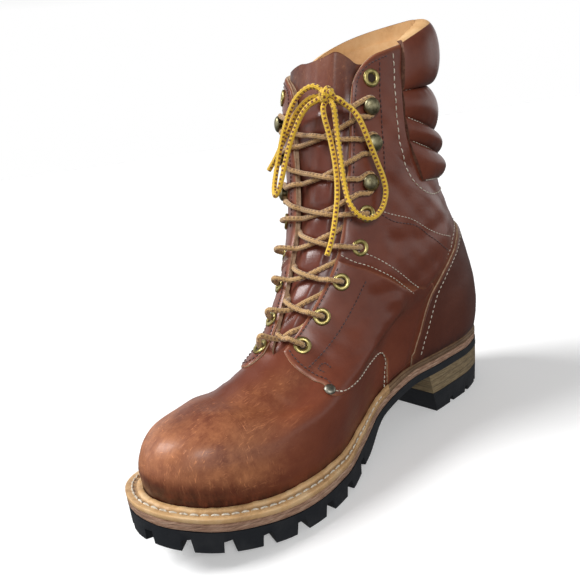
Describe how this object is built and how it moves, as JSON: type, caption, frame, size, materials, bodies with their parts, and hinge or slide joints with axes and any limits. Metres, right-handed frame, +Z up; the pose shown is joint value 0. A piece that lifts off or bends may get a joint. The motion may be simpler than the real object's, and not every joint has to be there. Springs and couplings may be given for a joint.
{
  "type": "logger boot",
  "caption": "Worn red-brown leather logger boot with padded collar rolls, stacked heel, black lug sole and yellow laces tied in a bow",
  "frame": {"origin": "on the floor under the flat tread of the heel, on the boot's long centre line", "axes": "+Z up, -Y towards the toe, +X towards the medial side"},
  "size_m": [0.118, 0.3359, 0.2963],
  "materials": {
    "red_brown_leather": "satin",
    "dark_leather": "satin",
    "tan_leather": "matte",
    "brown_leather": "matte",
    "black_rubber": "matte",
    "brass": "satin",
    "old_bronze": "satin",
    "dull_steel": "satin",
    "yellow_lace": "matte"
  },
  "bodies": {
    "root": {"outsole": "black_rubber", "heel_lift": "black_rubber", "heel_stack": "brown_leather", "midsole": "brown_leather", "welt": "tan_leather", "heel_rand": "brown_leather", "insole": "tan_leather", "upper": "red_brown_leather", "quarter_medial": "red_brown_leather", "quarter_lateral": "red_brown_leather", "shaft_medial": "red_brown_leather", "shaft_lateral": "red_brown_leather", "counter": "red_brown_leather", "collar_pad": "red_brown_leather", "tongue": "dark_leather", "eyelet_medial_1": "brass", "eyelet_medial_2": "brass", "eyelet_medial_3": "brass", "eyelet_medial_4": "brass", "eyelet_medial_5": "brass", "eyelet_medial_6": "brass", "eyelet_lateral_1": "brass", "eyelet_lateral_2": "brass", "eyelet_lateral_3": "brass", "eyelet_lateral_4": "brass", "eyelet_lateral_5": "brass", "eyelet_lateral_6": "brass", "hook_medial_1": "old_bronze", "hook_medial_2": "old_bronze", "hook_medial_3": "old_bronze", "hook_lateral_1": "old_bronze", "hook_lateral_2": "old_bronze", "hook_lateral_3": "old_bronze", "rivet_medial": "dull_steel", "rivet_lateral": "dull_steel", "lace_cross_1": "yellow_lace", "lace_cross_2": "yellow_lace", "lace_cross_3": "yellow_lace", "lace_cross_4": "yellow_lace", "lace_cross_5": "yellow_lace", "lace_cross_6": "yellow_lace", "lace_cross_7": "yellow_lace", "lace_bar_medial": "yellow_lace", "lace_bar_lateral": "yellow_lace", "lace_knot": "yellow_lace", "lace_loop_medial": "yellow_lace", "lace_loop_lateral": "yellow_lace", "lace_end_medial": "yellow_lace", "lace_end_lateral": "yellow_lace"}
  },
  "joints": []
}
